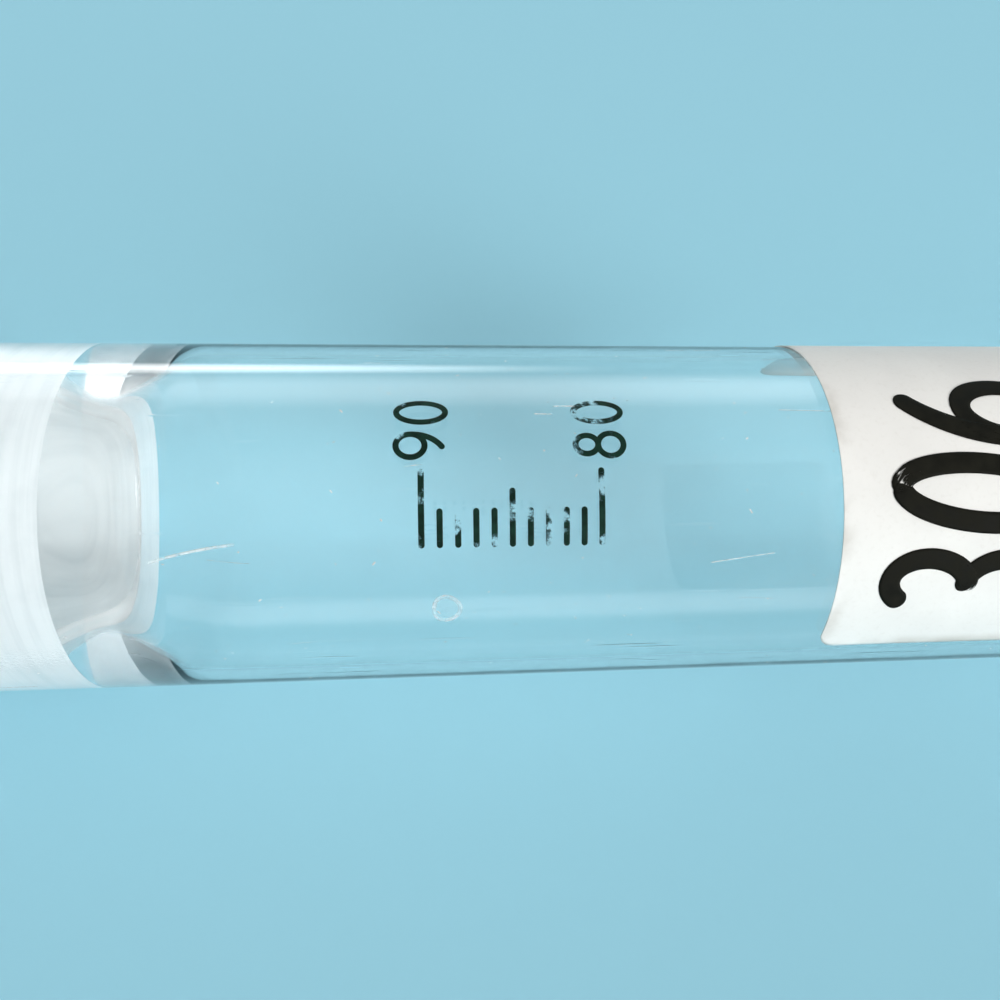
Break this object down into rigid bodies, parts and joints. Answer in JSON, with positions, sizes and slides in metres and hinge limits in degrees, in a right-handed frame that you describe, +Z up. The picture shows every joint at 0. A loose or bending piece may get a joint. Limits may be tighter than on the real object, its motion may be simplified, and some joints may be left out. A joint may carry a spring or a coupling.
{
  "type": "stoppered test tube",
  "caption": "Clear round-bottomed glass test tube with a ground taper mouth, a hollow glass stopper and a paper label; holds and seals a sample.",
  "frame": {"origin": "on the surface that the tube lies on, under the middle of its whole length with the stopper in", "axes": "+X along the tube's axis from the stopper to the closed round end, +Z up through the middle of the label"},
  "size_m": [0.224, 0.032, 0.0323],
  "materials": {
    "tube_glass": "clear, lightly scratched",
    "stopper_glass": "clear head, ground taper",
    "label_paper": "matt uncoated"
  },
  "bodies": {
    "tube": {"glass_tube": "tube_glass", "paper_label": "label_paper"},
    "stopper": {"glass_stopper": "stopper_glass"}
  },
  "joints": [
    {"name": "stopper_pull", "type": "slide", "parent": "tube", "child": "stopper", "axis": [-1, 0, 0], "range_m": [0, 0.06]}
  ]
}
